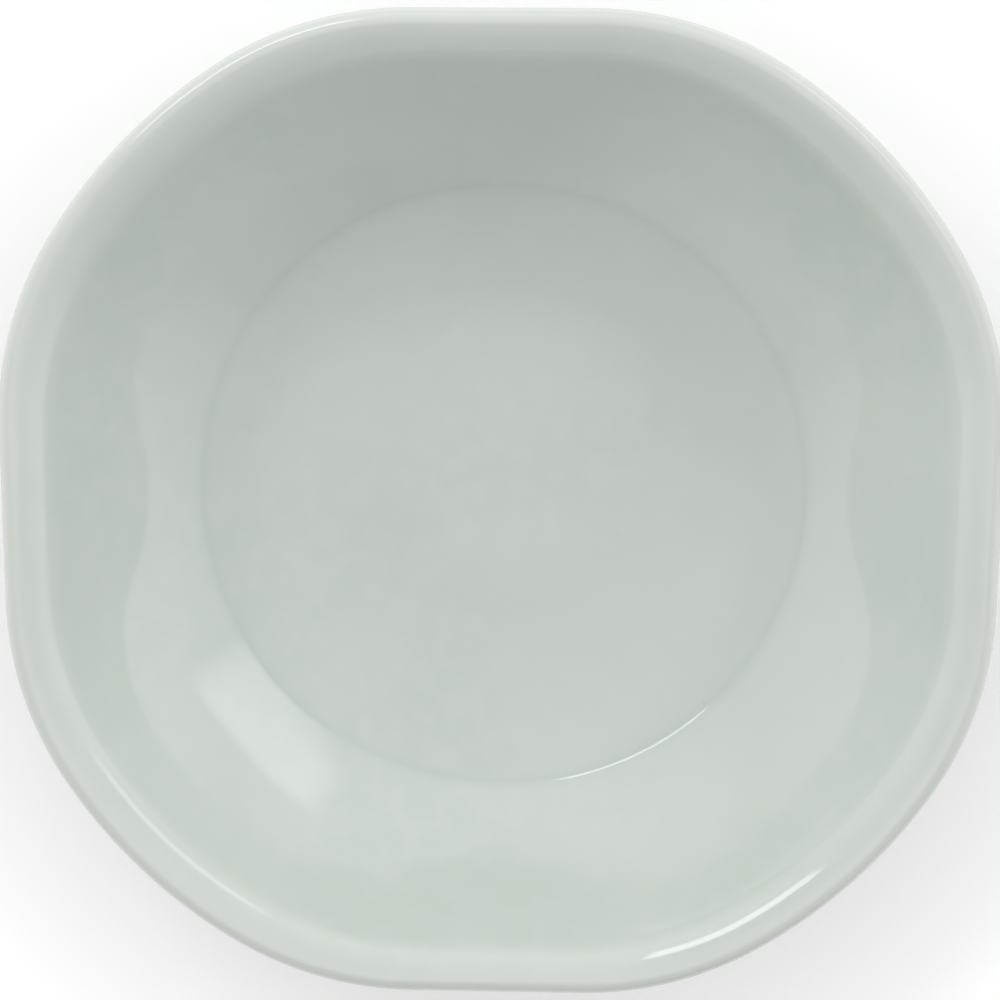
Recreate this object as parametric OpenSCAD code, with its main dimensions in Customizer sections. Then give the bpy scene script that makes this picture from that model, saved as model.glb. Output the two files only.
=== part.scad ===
// Open ceramic serving bowl. Its rim is round with four flattened sides, and its hollow wall comes
// down to a round dished well, which it meets in a crisp line above a foot ring.
// The origin is on the table under the middle of the bowl, and +Z is up.

/* [Rim] */
// Width across two opposite flat sides of the rim
rim_w = 210; // [180:1:250]
// Length of the straight stretch in the middle of each flat side
rim_flat = 37; // [10:1:50]
// Radius of the eight bends that join the flat sides to the diagonal sides
bend_r = 74; // [60:1:90]
// Angle that each bend turns through
bend_turn = 32; // [25:1:40]
// Height of the rim above the table
rim_h = 54; // [48:1:70]
// Thickness of the rounded lip
lip_t = 5.5; // [3:0.1:7]
// Slope of the inner face where it runs into the lip, from level
lip_slope = 18; // [10:1:35]

/* [Wall] */
// Run of the wall from the shelf to the outside of the lip, at a flat side
wall_run = 35; // [31:1:45]
// Radius of the sweep from the shelf into the wall, on the inner face
sweep_r = 3; // [1:0.5:8]
// Radius of the shallow hollow of the wall, on the inner face
flank_r = 80; // [60:5:300]
// Radius of the flare from the wall into the lip, on the inner face
flare_r = 11; // [7:0.5:13]
// Thickness of the wall at the shelf
wall_t = 5.5; // [4:0.1:7]

/* [Well] */
// Width of the narrow level shelf between the well and the wall
shelf_w = 0.5; // [0.5:0.5:5]
// Diameter of the level middle of the well
well_flat_d = 60; // [30:1:90]
// Depth of the well below the shelf
well_depth = 8; // [4:0.5:10]
// Radius that softens the edge of the well
well_edge_r = 0.5; // [0.5:0.5:4]
// Thickness of the floor under the middle of the well
floor_t = 4.5; // [4:0.1:8]

/* [Foot] */
// Distance from the edge of the well in to the outside of the foot ring, at the table
foot_inset = 5.5; // [3:0.5:15]
// Width of the level face that the bowl stands on
foot_face_w = 3; // [2:0.5:6]
// Height of the hollow under the floor, inside the foot ring
foot_hollow_h = 3; // [2:0.5:6]
// Radius that rounds the two edges of the standing face
foot_edge_r = 1; // [0.5:0.1:1.5]
// Slope of the sides of the foot ring, from upright
foot_draft = 20; // [5:1:35]

/* [Hidden] */
glaze_colour = [0.77, 0.80, 0.77];

// Steps in the skin: around the bowl, and along each stretch of the wall's section
around_steps = 96;
sweep_steps = 4;
flank_steps = 8;
flare_steps = 4;
lip_top_steps = 2;
lip_side_steps = 5;
lip_under_steps = 4;
well_steps = 12;
edge_steps = 4;
$fn = 96;

// Heights
well_z = foot_hollow_h + floor_t;
shelf_z = well_z + well_depth;

// Radii, measured at a flat side
rim_r = rim_w / 2;
shelf_r = rim_r - wall_run;
well_r = shelf_r - shelf_w;
well_flat_r = well_flat_d / 2;
foot_r = well_r - foot_inset;

// Rim outline: one eighth is a straight stretch, then a bend, then half of a diagonal side
bend_centre = [rim_r - bend_r, rim_flat / 2];
side_r = bend_r + (bend_centre.x - bend_centre.y) / (cos(bend_turn) - sin(bend_turn));
side_centre = bend_centre + (bend_r - side_r) * [cos(bend_turn), sin(bend_turn)];
bend_start = atan2(bend_centre.y, rim_r);
bend_tip = bend_centre + bend_r * [cos(bend_turn), sin(bend_turn)];
bend_end = atan2(bend_tip.y, bend_tip.x);

// Wall section: circles of the sweep, the flank, the flare and the lip, each touching the next
sweep_centre = [shelf_r, shelf_z + sweep_r];
lip_centre = [rim_r - lip_t / 2, rim_h - lip_t / 2];
flare_centre = lip_centre + (flare_r - lip_t / 2) * [sin(lip_slope), -cos(lip_slope)];
lip_start_r = lip_centre.x - lip_t / 2 * sin(lip_slope);
outer_sweep_r = sweep_r + wall_t;
outer_flank_r = flank_r + wall_t;
outer_flare_r = flare_r - lip_t;
inner_centre = flank_centre(sweep_r, flank_r, flare_r);
outer_centre = flank_centre(outer_sweep_r, outer_flank_r, outer_flare_r);

// Points of an arc about a centre, from one angle to another
function arc(centre, radius, from, to, steps) =
    [for (i = [0:steps]) let (a = from + (to - from) * i / steps) centre + radius * [cos(a), sin(a)]];

// Points of a stretch after its first one, which the stretch before it already has
function rest_of(points) = [for (i = [1:len(points) - 1]) points[i]];

// Direction from one point to another
function bearing(from, to) = atan2(to.y - from.y, to.x - from.x);

// Centre of the flank's circle, which holds the sweep's circle and touches the flare's from outside
function flank_centre(low_r, radius, high_r) =
    let (span = flare_centre - sweep_centre)
    let (gap = norm(span))
    let (low_reach = radius - low_r)
    let (high_reach = radius + high_r)
    let (along = (low_reach * low_reach - high_reach * high_reach + gap * gap) / (2 * gap))
    let (aside = sqrt(low_reach * low_reach - along * along))
    sweep_centre + (along * span + aside * [-span.y, span.x]) / gap;

// Distance from the axis to a circle along a ray at an angle
function ray_to_circle(angle, centre, radius) =
    let (along = centre * [cos(angle), sin(angle)])
    along + sqrt(radius * radius - centre * centre + along * along);

// Distance from the axis to the rim outline along a ray at an angle, folded into one eighth
function outline_r(angle) =
    let (quarter = angle % 90)
    let (a = min(quarter, 90 - quarter))
    a <= bend_start ? rim_r / cos(a)
        : a <= bend_end ? ray_to_circle(a, bend_centre, bend_r)
        : ray_to_circle(a, side_centre, side_r);

// Share of the rim's squareness that a radius takes: none at the shelf, all of it at the lip
function squareness(r) =
    let (x = min(1, max(0, (r - shelf_r) / (lip_start_r - shelf_r))))
    x * x * (3 - 2 * x);

// Place of a point of the wall section when it is turned to an angle
function placed(p, angle) =
    let (r = p.x + squareness(p.x) * (outline_r(angle) - rim_r))
    [r * cos(angle), r * sin(angle), p.y];

// Section of the wall, from the shelf up the inner face, over the lip and down the outer face
function wall_section() =
    let (inner_low = bearing(inner_centre, sweep_centre))
    let (inner_high = bearing(inner_centre, flare_centre))
    let (outer_low = bearing(outer_centre, sweep_centre))
    let (outer_high = bearing(outer_centre, flare_centre))
    let (lip_r = lip_t / 2)
    concat(
        arc(sweep_centre, sweep_r, -90, inner_low, sweep_steps),
        rest_of(arc(inner_centre, flank_r, inner_low, inner_high, flank_steps)),
        rest_of(arc(flare_centre, flare_r, 180 + inner_high, 90 + lip_slope, flare_steps)),
        rest_of(arc(lip_centre, lip_r, 90 + lip_slope, 90, lip_top_steps)),
        rest_of(arc(lip_centre, lip_r, 90, 0, lip_side_steps)),
        rest_of(arc(lip_centre, lip_r, 0, lip_slope - 90, lip_under_steps)),
        rest_of(arc(flare_centre, outer_flare_r, 90 + lip_slope, 180 + outer_high, flare_steps)),
        rest_of(arc(outer_centre, outer_flank_r, outer_high, outer_low, flank_steps)),
        rest_of(arc(sweep_centre, outer_sweep_r, outer_low, -90, sweep_steps))
    );

// Skin of the wall, closed by a level shelf on top and a level underside
module wall_body() {
    section = wall_section();
    rings = len(section);
    n = around_steps;
    points = [for (p = section) for (k = [0:n - 1]) placed(p, 360 * k / n)];
    shelf = [for (k = [n - 1:-1:0]) k];
    underside = [for (k = [0:n - 1]) (rings - 1) * n + k];
    skin = [
        for (i = [0:rings - 2])
        for (k = [0:n - 1])
        let (next = (k + 1) % n)
        let (low = i * n)
        let (high = low + n)
        each [[low + k, low + next, high + next], [low + k, high + next, high + k]]
    ];
    polyhedron(points = points, faces = concat([shelf, underside], skin));
}

// Base under the well: a solid disc that ends in the foot ring
module base() {
    tip_r = foot_edge_r;
    outer_tip = [foot_r - tip_r, tip_r];
    inner_tip = outer_tip - [foot_face_w, 0];
    top_z = shelf_z - wall_t / 2;
    outer_run = (top_z - tip_r) * tan(foot_draft);
    inner_run = (foot_hollow_h - tip_r) * tan(foot_draft);
    rotate_extrude()
        polygon(concat(
            [[0, foot_hollow_h]],
            [[inner_tip.x - tip_r / cos(foot_draft) - inner_run, foot_hollow_h]],
            arc(inner_tip, tip_r, 180 + foot_draft, 270, edge_steps),
            arc(outer_tip, tip_r, 270, 360 - foot_draft, edge_steps),
            [[outer_tip.x + tip_r / cos(foot_draft) + outer_run, top_z]],
            [[0, top_z]]
        ));
}

// Space of the well, with a level middle, a dished side and a softened edge
module well() {
    side_run = well_r - well_flat_r;
    dish_r = (side_run * side_run + well_depth * well_depth) / (2 * well_depth);
    dish_centre = [well_flat_r, well_z + dish_r];
    edge_drop = dish_centre.y - shelf_z + well_edge_r;
    edge_reach = dish_r + well_edge_r;
    edge_turn = acos(edge_drop / edge_reach);
    edge_centre = dish_centre + edge_reach * [sin(edge_turn), -cos(edge_turn)];
    rotate_extrude()
        polygon(concat(
            [[0, well_z]],
            arc(dish_centre, dish_r, -90, edge_turn - 90, well_steps),
            arc(edge_centre, well_edge_r, 90 + edge_turn, 90, edge_steps),
            [[edge_centre.x, rim_h]],
            [[0, rim_h]]
        ));
}

module bowl() {
    color(glaze_colour)
        difference() {
            union() {
                wall_body();
                base();
            }
            well();
        }
}

bowl();
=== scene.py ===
"""Looks of the serving bowl: one glazed ceramic piece on a white table, seen from above."""
import math

import bpy
from mathutils import Matrix, Vector


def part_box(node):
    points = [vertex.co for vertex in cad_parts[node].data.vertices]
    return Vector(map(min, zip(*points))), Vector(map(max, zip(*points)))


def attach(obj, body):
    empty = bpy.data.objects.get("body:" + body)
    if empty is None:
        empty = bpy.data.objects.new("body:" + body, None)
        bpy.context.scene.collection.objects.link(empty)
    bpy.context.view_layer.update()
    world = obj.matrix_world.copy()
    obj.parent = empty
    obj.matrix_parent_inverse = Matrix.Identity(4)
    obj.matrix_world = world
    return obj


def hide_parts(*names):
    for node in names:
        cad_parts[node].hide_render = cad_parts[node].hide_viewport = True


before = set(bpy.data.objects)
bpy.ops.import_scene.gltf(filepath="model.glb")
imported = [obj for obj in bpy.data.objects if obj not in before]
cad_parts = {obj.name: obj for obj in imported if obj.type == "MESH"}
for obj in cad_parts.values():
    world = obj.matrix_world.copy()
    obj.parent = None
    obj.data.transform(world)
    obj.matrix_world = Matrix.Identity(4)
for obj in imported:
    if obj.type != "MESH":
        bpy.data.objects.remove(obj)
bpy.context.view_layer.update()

MM = 0.001

# Rim, with its width and height taken from the frame
bowl_low, bowl_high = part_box("bowl")
RIM_R = (bowl_high.x - bowl_low.x) / 2
RIM_H = bowl_high.z
RIM_FLAT = 37 * MM
BEND_R = 74 * MM
BEND_TURN = 32
LIP_T = 5.5 * MM
LIP_SLOPE = 18

# Wall
WALL_RUN = 35 * MM
SWEEP_R = 3 * MM
FLANK_R = 80 * MM
FLARE_R = 11 * MM
WALL_T = 5.5 * MM

# Well, which the wall meets in a crease
CREASE_INSET = 1.2 * MM
CREASE_FILLET_R = 5 * MM
WELL_FLAT_R = 30 * MM
WELL_DEPTH = 8 * MM
FLOOR_T = 4.5 * MM

# Foot
FOOT_INSET = 6 * MM
FOOT_FACE_W = 3 * MM
FOOT_HOLLOW_H = 3 * MM
FOOT_EDGE_R = 1 * MM
FOOT_DRAFT = 20
FOOT_FILLET_R = 2 * MM

# Fineness of the mesh: around the bowl, and along its section
AROUND_STEPS = 288
SECTION_STEP = 1.0 * MM
ARC_STEPS = 6

# Levels and radii that follow from the sizes
WELL_Z = FOOT_HOLLOW_H + FLOOR_T
CREASE_Z = WELL_Z + WELL_DEPTH
WALL_FOOT_R = RIM_R - WALL_RUN
CREASE_R = WALL_FOOT_R - CREASE_INSET
FOOT_R = WALL_FOOT_R - FOOT_INSET

# Camera, as fitted to the outline of the rim and the edge of the well
PHOTO_PX = 1000
FOCAL_PX = 1901.5
RIM_CENTRE_PX = (498.2, 521.6)
CAMERA_DISTANCE = 400 * MM
CAMERA_TILT = 10.13
CAMERA_SIDE = -1.60
CAMERA_ROLL = -0.40
SENSOR_MM = 36

# Glaze and bare clay
GLAZE_DEEP = (0.588, 0.646, 0.594)
GLAZE_PALE = (0.612, 0.664, 0.616)
GLAZE_MIST = (0.628, 0.674, 0.630)
# Deeper glaze in concave bends: partly pooled glaze, partly painted shade along the crease round the
# well
GLAZE_POOLED_SHADE = (0.542, 0.614, 0.558)
GLAZE_THIN = (0.650, 0.680, 0.640)
SPECK = (0.20, 0.19, 0.16)
CLAY_PALE = (0.66, 0.60, 0.52)
CLAY_DEEP = (0.56, 0.50, 0.42)
CLAY_WORN = (0.42, 0.40, 0.37)
GLAZE_IOR = 1.55
GLAZE_ROUGH = 0.05
GLAZE_ROUGH_SPREAD = 0.03
CLAY_ROUGH_GAIN = 0.62

# Patterns in glaze and clay, in swings per metre, and heights of three of them in millimetres
CLOUD_SCALE = 22
MOTTLE_SCALE = 160
SPECK_SCALE = 105
RIPPLE_SCALE = 55
PEEL_SCALE = 650
GRAIN_SCALE = 2200
RIPPLE_MM = 0.05
PEEL_MM = 0.0012
GRAIN_MM = 0.03

# Levels of a pattern between which each mark comes in, and the most that a mark covers
CLOUD_LEVELS = (0.35, 0.65)
MIST_LEVELS = (0.40, 0.70)
GLOSS_LEVELS = (0.30, 0.70)
CLAY_LEVELS = (0.42, 0.62)
BISCUIT_LEVELS = (0.35, 0.65)
WORN_LEVELS = (0.50, 0.62)
SPECK_CHOICE = (0.80, 0.84)
SPECK_EDGE = (0.015, 0.045)
MIST_SHARE = 0.5
POOLED_SHADE_SHARE = 0.5
THIN_SHARE = 0.8
SPECK_SHARE = 0.35
WORN_SHARE = 0.5
CLAY_WAVER = 0.5

# Bends of the section at which the glaze is thinnest and deepest, the deepest also darkened as painted
# shade, and how far such a mark spreads
THIN_BEND_R = 2.5 * MM
POOL_SHADE_BEND_R = 5 * MM
MARK_REACH = 1.0 * MM

# Table and light, with the horizon's two heights on a sky of radius 1
FLOOR_REACH = 40
FLOOR_FADE = 0.3
FLOOR_COLOUR = (0.8, 0.8, 0.8, 1)
FLOOR_ROUGH = 0.7
FLOOR_NEAR_LIFT = 0.20
FLOOR_FAR_LIFT = 0.5
SKY_PLAIN = 0.35
SKY_SIDES = 0.66
HORIZON_LOW = 0.05
HORIZON_TOP = 0.12
LAMP_DISTANCE = 1.0

# Lamps: name, azimuth, elevation, size, brightness of the face where white is 1, and how crisply
# it ends, from 1 for a face that fades all the way from its middle
LAMPS = (
    ("key", 90, 34, (2.2, 1.0), 1.15, 1),
    ("window", 125, 46, (0.50, 0.20), 4.8, 5),
    ("right", 0, 18, (1.8, 0.9), 0.55, 1),
    ("left", 180, 18, (1.8, 0.9), 0.35, 1),
    ("front", 250, 16, (1.4, 0.6), 0.42, 1),
    ("corner", 39, 31, (0.6, 0.20), 2.0, 1.5),
    ("overhead", 70, 81, (1.0, 1.2), 0.62, 1.5),
)


def polar(radius, degrees):
    """A point of the section at a distance and angle from the origin."""
    return Vector((math.cos(math.radians(degrees)), math.sin(math.radians(degrees)))) * radius


def arc(centre, radius, start, end):
    """Points of an arc about a centre, from one angle to another in degrees."""
    steps = max(ARC_STEPS, math.ceil(abs(math.radians(end - start)) * radius / SECTION_STEP))
    return [centre + polar(radius, start + (end - start) * i / steps) for i in range(steps + 1)]


def straight(start, end):
    """Points strictly between the ends of a straight stretch."""
    steps = max(2, math.ceil((end - start).length / SECTION_STEP))
    return [start.lerp(end, i / steps) for i in range(1, steps)]


def fillet(before, corner, after, radius):
    """Arc that rounds the corner between two straight stretches."""
    back = (before - corner).normalized()
    ahead = (after - corner).normalized()
    half = back.angle(ahead) / 2
    centre = corner + (back + ahead).normalized() * radius / math.sin(half)
    first = corner + back * radius / math.tan(half) - centre
    last = corner + ahead * radius / math.tan(half) - centre
    start = math.degrees(math.atan2(first.y, first.x))
    turn = math.degrees(math.atan2(first.x * last.y - first.y * last.x, first.dot(last)))
    return arc(centre, radius, start, start + turn)


def joined(*stretches):
    """One line of points through several stretches, with straight runs between their ends."""
    points = list(stretches[0])
    for stretch in stretches[1:]:
        gap = (stretch[0] - points[-1]).length
        if gap > SECTION_STEP:
            points += straight(points[-1], stretch[0])
        points += stretch if gap > 1e-7 else stretch[1:]
    return points


def bearing(start, end):
    """Direction from one point to another, in degrees."""
    return math.degrees(math.atan2(end.y - start.y, end.x - start.x))


def flank_centre(sweep_centre, flare_centre, sweep_r, flank_r, flare_r):
    """Centre of the flank's circle, which holds the sweep's and touches the flare's from outside."""
    span = flare_centre - sweep_centre
    gap = span.length
    low_reach = flank_r - sweep_r
    high_reach = flank_r + flare_r
    along = (low_reach ** 2 - high_reach ** 2 + gap ** 2) / (2 * gap)
    aside = math.sqrt(low_reach ** 2 - along ** 2)
    return sweep_centre + (span * along + Vector((-span.y, span.x)) * aside) / gap


def upper_section():
    """Points from the middle of the well up the inner face, over the lip and down the outer face."""
    run = CREASE_R - WELL_FLAT_R
    dish_r = (run * run + WELL_DEPTH * WELL_DEPTH) / (2 * WELL_DEPTH)
    dish_centre = Vector((WELL_FLAT_R, WELL_Z + dish_r))
    dish_end = math.degrees(math.asin(run / dish_r)) - 90
    inner_sweep = dish_centre + polar(dish_r - CREASE_FILLET_R, dish_end)
    outer_sweep = Vector((WALL_FOOT_R, CREASE_Z + SWEEP_R))
    lip_centre = Vector((RIM_R - LIP_T / 2, RIM_H - LIP_T / 2))
    flare_centre = lip_centre + polar(FLARE_R - LIP_T / 2, LIP_SLOPE - 90)
    outer_radii = (SWEEP_R + WALL_T, FLANK_R + WALL_T, FLARE_R - LIP_T)
    inner_centre = flank_centre(inner_sweep, flare_centre, CREASE_FILLET_R, FLANK_R, FLARE_R)
    outer_centre = flank_centre(outer_sweep, flare_centre, *outer_radii)
    inner_low = bearing(inner_centre, inner_sweep)
    inner_high = bearing(inner_centre, flare_centre)
    outer_low = bearing(outer_centre, outer_sweep)
    outer_high = bearing(outer_centre, flare_centre)
    return joined(
        [Vector((0, WELL_Z))],
        arc(dish_centre, dish_r, -90, dish_end),
        arc(inner_sweep, CREASE_FILLET_R, dish_end, inner_low),
        arc(inner_centre, FLANK_R, inner_low, inner_high),
        arc(flare_centre, FLARE_R, 180 + inner_high, 90 + LIP_SLOPE),
        arc(lip_centre, LIP_T / 2, 90 + LIP_SLOPE, 90),
        arc(lip_centre, LIP_T / 2, 90, 0),
        arc(lip_centre, LIP_T / 2, 0, LIP_SLOPE - 90),
        arc(flare_centre, outer_radii[2], 90 + LIP_SLOPE, 180 + outer_high),
        arc(outer_centre, outer_radii[1], outer_high, outer_low),
        arc(outer_sweep, outer_radii[0], outer_low, -90),
    )


def foot_section():
    """Points from the underside of the wall down around the foot ring to the middle of the hollow."""
    under_z = CREASE_Z - WALL_T
    lean = math.tan(math.radians(FOOT_DRAFT))
    side = FOOT_EDGE_R / math.cos(math.radians(FOOT_DRAFT))
    outer_tip = Vector((FOOT_R - FOOT_EDGE_R, FOOT_EDGE_R))
    inner_tip = outer_tip - Vector((FOOT_FACE_W, 0))
    outer_top = Vector((outer_tip.x + side + (under_z - FOOT_EDGE_R) * lean, under_z))
    inner_top = Vector((inner_tip.x - side - (FOOT_HOLLOW_H - FOOT_EDGE_R) * lean, FOOT_HOLLOW_H))
    outer_arc = arc(outer_tip, FOOT_EDGE_R, -FOOT_DRAFT, -90)
    inner_arc = arc(inner_tip, FOOT_EDGE_R, -90, FOOT_DRAFT - 180)
    middle = Vector((0, FOOT_HOLLOW_H))
    return joined(
        fillet(Vector((WALL_FOOT_R, under_z)), outer_top, outer_arc[0], FOOT_FILLET_R),
        outer_arc,
        inner_arc,
        fillet(inner_arc[-1], inner_top, middle, FOOT_FILLET_R),
        [middle],
    )


def outline_r(angle):
    """Distance from the axis to the rim's outline along a ray, folded into one eighth of a turn."""
    quarter = angle % 90
    a = min(quarter, 90 - quarter)
    bend_centre = Vector((RIM_R - BEND_R, RIM_FLAT / 2))
    turn = polar(1, BEND_TURN)
    side_r = BEND_R + (bend_centre.x - bend_centre.y) / (turn.x - turn.y)
    side_centre = bend_centre + turn * (BEND_R - side_r)
    bend_tip = bend_centre + turn * BEND_R
    ray = polar(1, a)
    if a <= math.degrees(math.atan2(bend_centre.y, RIM_R)):
        return RIM_R / ray.x
    on_bend = a <= math.degrees(math.atan2(bend_tip.y, bend_tip.x))
    centre, radius = (bend_centre, BEND_R) if on_bend else (side_centre, side_r)
    along = centre.dot(ray)
    return along + math.sqrt(radius * radius - centre.length_squared + along * along)


def squareness(radius):
    """Share of the rim's squareness that a radius takes: none at the well, all of it at the lip."""
    lip_start_r = RIM_R - LIP_T / 2 - LIP_T / 2 * math.sin(math.radians(LIP_SLOPE))
    x = min(1, max(0, (radius - WALL_FOOT_R) / (lip_start_r - WALL_FOOT_R)))
    return x * x * (3 - 2 * x)


def blurred(values, places, reach):
    """Values along the section, each softened over its neighbours."""
    soft = []
    for here in places:
        weights = [math.exp(-((there - here) / reach) ** 2) for there in places]
        soft.append(sum(v * w for v, w in zip(values, weights)) / sum(weights))
    return soft


def glaze_marks(section):
    """Shares of thin glaze, pooled glaze with painted shade in the hollows, and bare clay at each point
    of the section.
    """
    last = len(section) - 1
    places = [0.0]
    for before, here in zip(section, section[1:]):
        places.append(places[-1] + (here - before).length)
    bends = [0.0]
    for i in range(1, last):
        back = section[i] - section[i - 1]
        ahead = section[i + 1] - section[i]
        turn = math.atan2(back.y * ahead.x - back.x * ahead.y, back.dot(ahead))
        bends.append(2 * turn / (back.length + ahead.length))
    bends.append(0.0)
    thin = blurred([min(1, max(0, bend * THIN_BEND_R)) for bend in bends], places, MARK_REACH)
    # Share of the deeper colour in concave bends: pooled glaze and painted shade in the crease and
    # hollows
    pooled_shade = blurred([min(1, max(0, -bend * POOL_SHADE_BEND_R)) for bend in bends], places, MARK_REACH)
    under = [i > last / 2 and p.x > FOOT_R - 2 * FOOT_FACE_W for i, p in enumerate(section)]
    bare = [max(0, 1 - p.y / FOOT_EDGE_R) if low else 0 for p, low in zip(section, under)]
    return thin, pooled_shade, bare


def bowl_mesh():
    """Closed mesh of the bowl, turned ring by ring from its section."""
    section = joined(upper_section(), foot_section())
    rays = [360 * k / AROUND_STEPS for k in range(AROUND_STEPS)]
    bulges = [outline_r(angle) - RIM_R for angle in rays]
    rings = section[1:-1]
    verts = [(0, 0, section[0].y)]
    for p in rings:
        share = squareness(p.x)
        for angle, bulge in zip(rays, bulges):
            spot = polar(p.x + share * bulge, angle)
            verts.append((spot.x, spot.y, p.y))
    verts.append((0, 0, section[-1].y))
    n = AROUND_STEPS
    last = len(verts) - 1
    top = last - n
    faces = [(0, 1 + k, 1 + (k + 1) % n) for k in range(n)]
    for i in range(len(rings) - 1):
        low = 1 + i * n
        for k in range(n):
            beside = (k + 1) % n
            faces.append((low + k, low + n + k, low + n + beside, low + beside))
    faces += [(last, top + (k + 1) % n, top + k) for k in range(n)]
    mesh = bpy.data.meshes.new("glazed_bowl")
    mesh.from_pydata(verts, [], faces)
    mesh.shade_smooth()
    for name, marks in zip(("thin", "pooled_shade", "bare"), glaze_marks(section)):
        spread = [marks[0]] + [mark for mark in marks[1:-1] for _ in rays] + [marks[-1]]
        mesh.attributes.new(name, "FLOAT", "POINT").data.foreach_set("value", spread)
    return mesh


def add(tree, kind, **values):
    """A new node, with its inputs set by name."""
    node = tree.nodes.new(kind)
    for name, value in values.items():
        node.inputs[name.replace("_", " ")].default_value = value
    return node


def maths(tree, operation, *values):
    """Output of a calculation on numbers or on other outputs."""
    node = tree.nodes.new("ShaderNodeMath")
    node.operation = operation
    for socket, value in zip(node.inputs, values):
        if isinstance(value, (int, float)):
            socket.default_value = value
        else:
            tree.links.new(value, socket)
    return node.outputs[0]


def blend(tree, share, first, second):
    """Output of a colour that goes from one to another by a share."""
    node = tree.nodes.new("ShaderNodeMix")
    node.data_type = "RGBA"
    colours = [socket for socket in node.inputs if socket.type == "RGBA"]
    for socket, value in zip([node.inputs["Factor"]] + colours, (share, first, second)):
        if isinstance(value, tuple):
            socket.default_value = value + (1,)
        else:
            tree.links.new(value, socket)
    return next(socket for socket in node.outputs if socket.type == "RGBA")


def ramp(tree, value, low, high):
    """Output that rises smoothly from 0 to 1 between two levels of a value."""
    node = add(tree, "ShaderNodeMapRange", From_Min=low, From_Max=high)
    node.interpolation_type = "SMOOTHSTEP"
    tree.links.new(value, node.inputs["Value"])
    return node.outputs["Result"]


def noise(tree, place, scale, detail):
    """Output of a noise about a middle of one half, in swings per metre."""
    node = add(tree, "ShaderNodeTexNoise", Scale=scale, Detail=detail)
    tree.links.new(place, node.inputs["Vector"])
    return node.outputs[0]


def mark(tree, name):
    """Output of one of the shares that the bowl's mesh carries."""
    node = tree.nodes.new("ShaderNodeAttribute")
    node.attribute_name = name
    return node.outputs["Fac"]


def glaze_material():
    """Glossy pale grey-green glaze, thin on the edges, pooled and darkened with painted shade in the
    hollows and the crease, off the foot's face.
    """
    material = bpy.data.materials.new("glaze")
    material.use_nodes = True
    tree = material.node_tree
    shader = tree.nodes["Principled BSDF"]
    shader.inputs["IOR"].default_value = GLAZE_IOR
    place = tree.nodes.new("ShaderNodeTexCoord").outputs["Object"]
    clouds = noise(tree, place, CLOUD_SCALE, 3)
    mottle = noise(tree, place, MOTTLE_SCALE, 4)
    ripple = noise(tree, place, RIPPLE_SCALE, 1)
    peel = noise(tree, place, PEEL_SCALE, 2)
    grain = noise(tree, place, GRAIN_SCALE, 3)

    # Where the glaze stops: a wavering line just above the standing face
    waver = maths(tree, "MULTIPLY", maths(tree, "SUBTRACT", mottle, 0.5), CLAY_WAVER)
    clay = ramp(tree, maths(tree, "ADD", mark(tree, "bare"), waver), *CLAY_LEVELS)

    # Sparse iron specks, each inside one cell of a loose pattern, on one cell in a few
    cells = add(tree, "ShaderNodeTexVoronoi", Scale=SPECK_SCALE)
    tree.links.new(place, cells.inputs["Vector"])
    chosen = ramp(tree, cells.outputs["Color"], *SPECK_CHOICE)
    core = maths(tree, "SUBTRACT", 1, ramp(tree, cells.outputs["Distance"], *SPECK_EDGE))
    specks = maths(tree, "MULTIPLY", maths(tree, "MULTIPLY", chosen, core), SPECK_SHARE)

    mist = maths(tree, "MULTIPLY", ramp(tree, mottle, *MIST_LEVELS), MIST_SHARE)
    # Painted shade and pooled glaze: the concave bends, such as the crease round the well, drawn darker
    pooled_shade = maths(tree, "MULTIPLY", mark(tree, "pooled_shade"), POOLED_SHADE_SHARE)
    thin = maths(tree, "MULTIPLY", mark(tree, "thin"), THIN_SHARE)
    worn = maths(tree, "MULTIPLY", ramp(tree, clouds, *WORN_LEVELS), WORN_SHARE)
    tone = blend(tree, ramp(tree, clouds, *CLOUD_LEVELS), GLAZE_DEEP, GLAZE_PALE)
    tone = blend(tree, mist, tone, GLAZE_MIST)
    tone = blend(tree, pooled_shade, tone, GLAZE_POOLED_SHADE)
    tone = blend(tree, thin, tone, GLAZE_THIN)
    tone = blend(tree, specks, tone, SPECK)
    biscuit = blend(tree, ramp(tree, mottle, *BISCUIT_LEVELS), CLAY_DEEP, CLAY_PALE)
    biscuit = blend(tree, worn, biscuit, CLAY_WORN)
    tree.links.new(blend(tree, clay, tone, biscuit), shader.inputs["Base Color"])

    matt = ramp(tree, mottle, *GLOSS_LEVELS)
    glaze_rough = maths(tree, "MULTIPLY_ADD", matt, GLAZE_ROUGH_SPREAD, GLAZE_ROUGH)
    rough = maths(tree, "MULTIPLY_ADD", clay, CLAY_ROUGH_GAIN, glaze_rough)
    tree.links.new(rough, shader.inputs["Roughness"])

    # Heights in millimetres: long ripples of the glaze, its fine peel, and the grain of bare clay
    height = maths(tree, "MULTIPLY_ADD", ripple, RIPPLE_MM, maths(tree, "MULTIPLY", peel, PEEL_MM))
    height = maths(tree, "MULTIPLY_ADD", maths(tree, "MULTIPLY", grain, clay), GRAIN_MM, height)
    bump = add(tree, "ShaderNodeBump", Strength=1, Distance=MM)
    tree.links.new(height, bump.inputs["Height"])
    tree.links.new(bump.outputs["Normal"], shader.inputs["Normal"])
    return material


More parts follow.
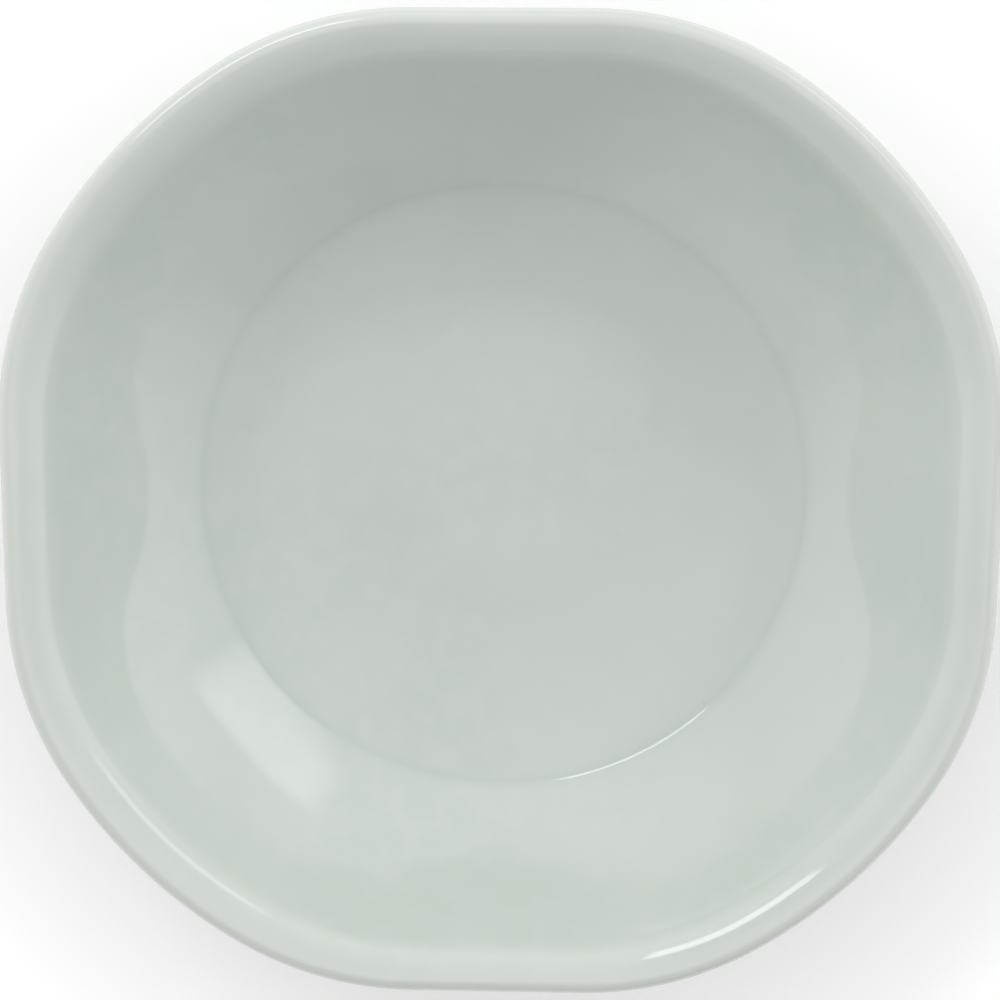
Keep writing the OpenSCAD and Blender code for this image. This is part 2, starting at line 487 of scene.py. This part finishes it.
def place_camera():
    """Camera above the bowl, leaning towards the top of the picture."""
    data = bpy.data.cameras.new("camera")
    data.sensor_width = SENSOR_MM
    data.lens = FOCAL_PX / PHOTO_PX * SENSOR_MM
    camera = bpy.data.objects.new("camera", data)
    bpy.context.scene.collection.objects.link(camera)
    tilt = Matrix.Rotation(math.radians(CAMERA_TILT), 3, "X")
    side = Matrix.Rotation(math.radians(CAMERA_SIDE), 3, "Y")
    roll = Matrix.Rotation(math.radians(CAMERA_ROLL), 3, "Z")
    to_world = (tilt @ side @ roll).transposed()
    per_px = CAMERA_DISTANCE / FOCAL_PX
    off_x = (RIM_CENTRE_PX[0] - PHOTO_PX / 2) * per_px
    off_y = (PHOTO_PX / 2 - RIM_CENTRE_PX[1]) * per_px
    rim_centre = Vector((0, 0, RIM_H - LIP_T / 2))
    place = rim_centre + to_world @ Vector((-off_x, -off_y, CAMERA_DISTANCE))
    camera.matrix_world = Matrix.Translation(place) @ to_world.to_4x4()
    bpy.context.scene.camera = camera


def area_lamp(name, azimuth, elevation, size, radiance, crispness):
    """Lamp that faces the bowl, brightest in its middle and fading to its edges."""
    data = bpy.data.lights.new(name, "AREA")
    data.shape = "RECTANGLE"
    data.size, data.size_y = size
    data.energy = radiance * math.pi * size[0] * size[1]
    data.use_nodes = True
    tree = data.node_tree
    face = tree.nodes.new("ShaderNodeSeparateXYZ")
    tree.links.new(tree.nodes.new("ShaderNodeNewGeometry").outputs["Parametric"], face.inputs[0])
    fades = []
    for across in (face.outputs["X"], face.outputs["Y"]):
        rise = maths(tree, "MULTIPLY", across, maths(tree, "SUBTRACT", 1, across))
        fades.append(maths(tree, "MINIMUM", 1, maths(tree, "MULTIPLY", rise, 4 * crispness)))
    tree.links.new(maths(tree, "MULTIPLY", *fades), tree.nodes["Emission"].inputs["Strength"])
    lamp = bpy.data.objects.new(name, data)
    flat = polar(math.cos(math.radians(elevation)), azimuth)
    lamp.location = Vector((flat.x, flat.y, math.sin(math.radians(elevation)))) * LAMP_DISTANCE
    lamp.rotation_euler = (-lamp.location).to_track_quat("-Z", "Y").to_euler()
    bpy.context.scene.collection.objects.link(lamp)


def seen(tree):
    """Output that is 1 for what the eye, a reflection or a glass sees, and 0 for light on the bowl."""
    path = tree.nodes.new("ShaderNodeLightPath")
    mirrored = maths(tree, "MAXIMUM", path.outputs["Is Glossy Ray"], path.outputs["Is Transmission Ray"])
    return maths(tree, "MAXIMUM", path.outputs["Is Camera Ray"], mirrored)


def place_floor():
    """White table under the bowl, which keeps its shadow and goes into the white around it."""
    corners = [(-1, -1), (1, -1), (1, 1), (-1, 1)]
    mesh = bpy.data.meshes.new("table")
    mesh.from_pydata([(x * FLOOR_REACH, y * FLOOR_REACH, 0) for x, y in corners], [], [(0, 1, 2, 3)])
    floor = bpy.data.objects.new("table", mesh)
    bpy.context.scene.collection.objects.link(floor)
    material = bpy.data.materials.new("table")
    material.use_nodes = True
    tree = material.node_tree
    shader = tree.nodes["Principled BSDF"]
    shader.inputs["Base Color"].default_value = FLOOR_COLOUR
    shader.inputs["Roughness"].default_value = FLOOR_ROUGH
    shader.inputs["Emission Color"].default_value = (1, 1, 1, 1)
    away = tree.nodes.new("ShaderNodeVectorMath")
    away.operation = "LENGTH"
    tree.links.new(tree.nodes.new("ShaderNodeTexCoord").outputs["Object"], away.inputs[0])
    far = ramp(tree, away.outputs["Value"], RIM_R, FLOOR_FADE)
    lift = maths(tree, "MULTIPLY_ADD", far, FLOOR_FAR_LIFT, FLOOR_NEAR_LIFT)
    tree.links.new(maths(tree, "MULTIPLY", lift, seen(tree)), shader.inputs["Emission Strength"])
    mesh.materials.append(material)


def light_world():
    """Even light from all around, stronger from the two sides and white along the horizon."""
    world = bpy.data.worlds.new("studio")
    world.use_nodes = True
    tree = world.node_tree
    background = tree.nodes["Background"]
    background.inputs["Color"].default_value = (1, 1, 1, 1)
    heading = tree.nodes.new("ShaderNodeSeparateXYZ")
    tree.links.new(tree.nodes.new("ShaderNodeTexCoord").outputs["Generated"], heading.inputs[0])
    aside = maths(tree, "MULTIPLY", heading.outputs["X"], heading.outputs["X"])
    sky = maths(tree, "MULTIPLY_ADD", aside, SKY_SIDES, SKY_PLAIN)
    horizon = ramp(tree, heading.outputs["Z"], HORIZON_TOP, HORIZON_LOW)
    tree.links.new(maths(tree, "MAXIMUM", sky, horizon), background.inputs["Strength"])
    bpy.context.scene.world = world


bowl = bpy.data.objects.new("glazed_bowl", bowl_mesh())
bpy.context.scene.collection.objects.link(bowl)
bowl.data.materials.append(glaze_material())
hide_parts("bowl")
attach(bowl, "root")

place_camera()
place_floor()
light_world()
for lamp in LAMPS:
    area_lamp(*lamp)
bpy.context.scene.view_settings.view_transform = "Standard"
